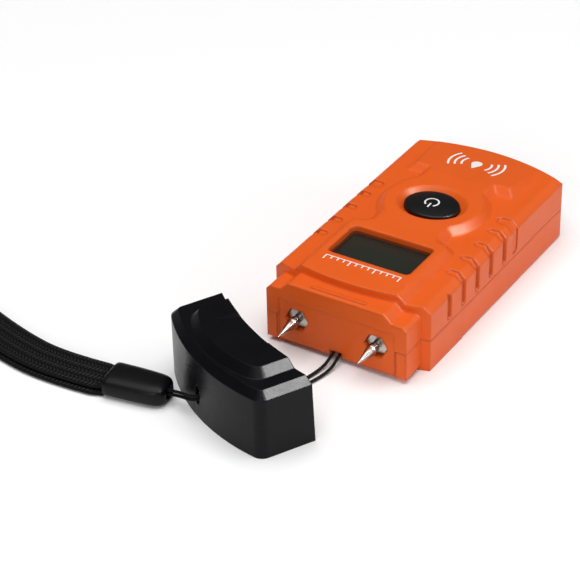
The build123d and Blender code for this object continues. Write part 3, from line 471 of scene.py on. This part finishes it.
weave = weave_height(web_tree)
yarn = noise(web_tree, 5200, 3, 0.6)
web_add = web_tree.nodes.new("ShaderNodeMath")
web_add.operation = "MULTIPLY_ADD"
web_add.inputs[1].default_value = 0.16
link(web_tree, yarn, web_add.inputs[0])
link(web_tree, weave, web_add.inputs[2])
bump(web_tree, web_shader, web_add.outputs["Value"], 0.00022, 1.0)
# painted shade and highlight: the strap's colour follows the weave height, darker in the hollows between
# floats and ribs, lighter on the raised floats
weave_painted_shade = web_tree.nodes.new("ShaderNodeMix")
weave_painted_shade.data_type = "RGBA"
weave_painted_shade.inputs["A"].default_value = (0.0008, 0.0008, 0.0008, 1)
weave_painted_shade.inputs["B"].default_value = (0.0045, 0.0045, 0.005, 1)
link(web_tree, weave, weave_painted_shade.inputs["Factor"])
link(web_tree, weave_painted_shade.outputs["Result"], web_shader.inputs["Base Color"])


def web_section():
    """Ribbed section, thinner at its edges: distance across, height above the middle, share across."""
    count = RIBS * STEPS_PER_RIB
    section = []
    for k in range(count + 1):
        u = k / count
        bulge = abs(math.sin(math.pi * u * RIBS)) ** 0.6
        edge = min(1.0, min(u, 1 - u) / EDGE_SHARE)
        height = STRAP_THICK / 2 * (1 - RIB_RELIEF + RIB_RELIEF * bulge)
        height *= 1 - EDGE_THINNING + EDGE_THINNING * edge ** 0.5
        section.append((STRAP_WIDTH / 2 * (2 * u - 1), height, u))
    return section + [(x, -h, u) for x, h, u in reversed(section)]


SECTION = web_section()


def web_piece(name, verts, uvs, rings):
    """Webbing through rings of section points, closed at both ends, on the strap's body."""
    count = len(SECTION)
    faces = ring_faces(rings, count)
    faces.append(tuple(range(count)))
    faces.append(tuple(reversed(range((rings - 1) * count, rings * count))))
    obj = mesh_piece(name, verts, faces, web, uvs=uvs)
    recalc(obj)
    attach(obj, "strap")
    return obj


def build_strap(name, node, z_mid, shift):
    """One flat layer of the webbing, pinched where it enters the ferrule."""
    line = spline_line([(x, y + shift, z_mid) for x, y in STRAP_ROUTE], SPLINE_STEPS)
    verts = []
    uvs = []
    run = 0.0
    for n, p in enumerate(line):
        ahead = direction(line, n)
        across = Vector((-ahead.y, ahead.x, 0))
        if n:
            run += (p - line[n - 1]).length
        t = min(1.0, run / PINCH_LENGTH)
        pinch = 1 - MOUTH_PINCH + MOUTH_PINCH * (3 * t ** 2 - 2 * t ** 3)
        for x, h, u in SECTION:
            verts.append(tuple(p + across * (x * pinch) + Vector((0, 0, h))))
            uvs.append((u, run))
    obj = web_piece(name, verts, uvs, len(line))
    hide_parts(node)
    return obj, [tuple(c * MM for c in p) for p in line]


def build_fold(lower_line, upper_line, steps=16):
    """Half turn of webbing that joins the two layers at the far end of the strap."""
    low = Vector(lower_line[-1]) / MM
    high = Vector(upper_line[-1]) / MM
    ahead = (low - Vector(lower_line[-2]) / MM).normalized()
    across = Vector((-ahead.y, ahead.x, 0))
    radius = (high.z - low.z) / 2
    verts = []
    uvs = []
    for n in range(steps + 1):
        angle = math.pi * (n / steps - 0.5)
        centre = low.lerp(high, n / steps)
        centre.z = (low.z + high.z) / 2
        out = ahead * math.cos(angle) + Vector((0, 0, math.sin(angle)))
        for x, h, u in SECTION:
            verts.append(tuple(centre + across * x + out * (radius + h)))
            uvs.append((u, STRAP_LENGTH / MM + radius * (angle + math.pi / 2)))
    return web_piece("strap_fold", verts, uvs, steps + 1)


LOWER_Z = LAYER_LIFT + STRAP_THICK / 2
UPPER_Z = LOWER_Z + STRAP_THICK + LAYER_LIFT
lower, lower_path = build_strap("strap_lower_web", "strap_lower", LOWER_Z, 0.0)
upper, upper_path = build_strap("strap_upper_web", "strap_upper", UPPER_Z, UPPER_SHIFT)
fold = build_fold(lower_path, upper_path)


# ------------------------------------------------------------------ generic printed marks
def flat_shape(name, loops, z_of, body, lift=0.03):
    """Thin printed shape: each loop is a pair of matching lists of points, or one filled ring."""
    verts = []
    faces = []
    for loop in loops:
        start = len(verts)
        if isinstance(loop, tuple):
            inner, outer = loop
            for (x0, y0), (x1, y1) in zip(inner, outer):
                verts.append((x0, y0, z_of(x0, y0) + lift))
                verts.append((x1, y1, z_of(x1, y1) + lift))
            for k in range(len(inner) - 1):
                a = start + 2 * k
                faces.append((a, a + 1, a + 3, a + 2))
        else:
            for x, y in loop:
                verts.append((x, y, z_of(x, y) + lift))
            faces.append(tuple(range(start, start + len(loop))))
    obj = mesh_piece(name, verts, faces, ink, smooth=False)
    for poly in obj.data.polygons:
        if poly.normal.z < 0:
            poly.flip()
    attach(obj, body)
    return obj


def arc(cx, cy, radius, a0, a1, n=24):
    angles = [math.radians(a0 + (a1 - a0) * k / n) for k in range(n + 1)]
    return [(cx + radius * math.cos(a), cy + radius * math.sin(a)) for a in angles]


def bar(x0, x1, y0, y1):
    return [(x0, y0), (x1, y0), (x1, y1), (x0, y1)]


SLOPE_Y = -17.0
REAR_END_Y = -34.9
REAR_END_HEIGHT = 16.68
KEY_TOP = 18.65
KEY_CROWN = 34.0
KEY_Y = -4.2


def deck_height(x, y):
    return TOP_HEIGHT


def rear_height(x, y):
    return TOP_HEIGHT - max(0.0, SLOPE_Y - y) * (TOP_HEIGHT - REAR_END_HEIGHT) / (SLOPE_Y - REAR_END_Y)


def key_height(x, y):
    return KEY_TOP - KEY_CROWN + math.sqrt(KEY_CROWN ** 2 - x * x - (y - KEY_Y) ** 2)


TICK_Y = 27.5
TICK_STEP = 1.6
ticks = []
for n in range(13):
    x = TICK_STEP * (n - 6)
    tall = 1.7 if n % 4 == 0 else 1.0
    ticks.append(bar(x - 0.16, x + 0.16, TICK_Y, TICK_Y + tall))
ticks.append(bar(-9.76, 9.76, TICK_Y - 0.25, TICK_Y))
flat_shape("scale_print", ticks, deck_height, "meter")

power = [
    (arc(0, KEY_Y, 1.45, 125, 415), arc(0, KEY_Y, 1.85, 125, 415)),
    bar(-0.2, 0.2, KEY_Y + 0.5, KEY_Y + 2.3),
]
flat_shape("power_print", power, key_height, "button", 0.02)

DROP_Y = -26.2
DROP_RADIUS = 1.35
drop = [(0.0, DROP_Y + 2.6)]
for degrees in range(25, -206, -15):
    a = math.radians(degrees)
    drop.append((DROP_RADIUS * math.cos(a), DROP_Y - 0.4 + DROP_RADIUS * math.sin(a)))
marks = [drop]
for radius in (3.4, 5.0, 6.6):
    for facing in (0, 180):
        inner = arc(0, DROP_Y - 0.2, radius, facing - 32, facing + 32)
        outer = arc(0, DROP_Y - 0.2, radius + 0.55, facing - 32, facing + 32)
        marks.append((inner, outer))
flat_shape("drop_print", marks, rear_height, "meter")

# ------------------------------------------------------------------ floor, light and camera
floor_mesh = bpy.data.meshes.new("floor")
FLOOR_HALF = 3
FLOOR_DROP = 0.00002
floor_mesh.from_pydata(
    [(x * FLOOR_HALF, y * FLOOR_HALF, 0) for x, y in ((-1, -1), (1, -1), (1, 1), (-1, 1))],
    [],
    [(0, 1, 2, 3)],
)
floor_mat = material("floor", (0.93, 0.93, 0.93), 0.7)[0]
floor_mesh.materials.append(floor_mat)
floor = bpy.data.objects.new("floor", floor_mesh)
floor.location.z = -FLOOR_DROP
bpy.context.scene.collection.objects.link(floor)

world = bpy.data.worlds.new("studio")
bpy.context.scene.world = world
world.use_nodes = True
world.node_tree.nodes["Background"].inputs["Color"].default_value = (1, 1, 1, 1)
world.node_tree.nodes["Background"].inputs["Strength"].default_value = 0.10


def softbox(name, at, target, size, watts):
    data = bpy.data.lights.new(name, "AREA")
    data.shape = "RECTANGLE"
    data.size = size[0]
    data.size_y = size[1]
    data.energy = watts
    lamp = bpy.data.objects.new(name, data)
    lamp.location = at
    lamp.rotation_euler = (Vector(target) - Vector(at)).to_track_quat("-Z", "Y").to_euler()
    bpy.context.scene.collection.objects.link(lamp)
    return lamp


overhead = softbox("overhead", (0.05, 0.10, 1.6), (0.05, 0.03, 0), (1.7, 1.7), 29.5)
chamfer_light = softbox("chamfer_light", (-0.62, -0.03, 0.67), (0.0, 0.05, 0.01), (0.28, 0.28), 15.0)
front_fill = softbox("front_fill", (-0.2, 0.9, 0.45), (0.0, 0.03, 0.01), (0.6, 0.5), 3.0)
side_fill = softbox("side_fill", (-0.95, -0.2, 0.35), (0.0, 0.0, 0.01), (0.6, 0.4), 2.2)
# the chamfer light shows only in reflections, as pale bands on the cap's bevels
chamfer_light.visible_diffuse = False

# the camera looks at TARGET from this far, in millimetres, with its focal length in pixels
AZIMUTH = math.radians(212.646997)
ELEVATION = math.radians(33.5226857)
ROLL = math.radians(-1.35354122)
DISTANCE = 517.428048
TARGET = Vector((17.7272070, -2.0331684 + 32.5, 8.0))
FOCAL = 2261.92394
back = Vector((
    math.sin(AZIMUTH) * math.cos(ELEVATION),
    -math.cos(AZIMUTH) * math.cos(ELEVATION),
    math.sin(ELEVATION),
))
level_right = (-back).cross(Vector((0, 0, 1))).normalized()
level_up = level_right.cross(-back)
right = math.cos(ROLL) * level_right + math.sin(ROLL) * level_up
up = -math.sin(ROLL) * level_right + math.cos(ROLL) * level_up
cam_data = bpy.data.cameras.new("camera")
cam_data.sensor_width = 36.0
cam_data.sensor_fit = "HORIZONTAL"
cam_data.lens = FOCAL * cam_data.sensor_width / FRAME_WIDTH
cam_data.clip_start = 0.01
cam = bpy.data.objects.new("camera", cam_data)
spot = (TARGET + back * DISTANCE) * MM
cam.matrix_world = Matrix((
    (right.x, up.x, back.x, spot.x),
    (right.y, up.y, back.y, spot.y),
    (right.z, up.z, back.z, spot.z),
    (0, 0, 0, 1),
))
bpy.context.scene.collection.objects.link(cam)
bpy.context.scene.camera = cam
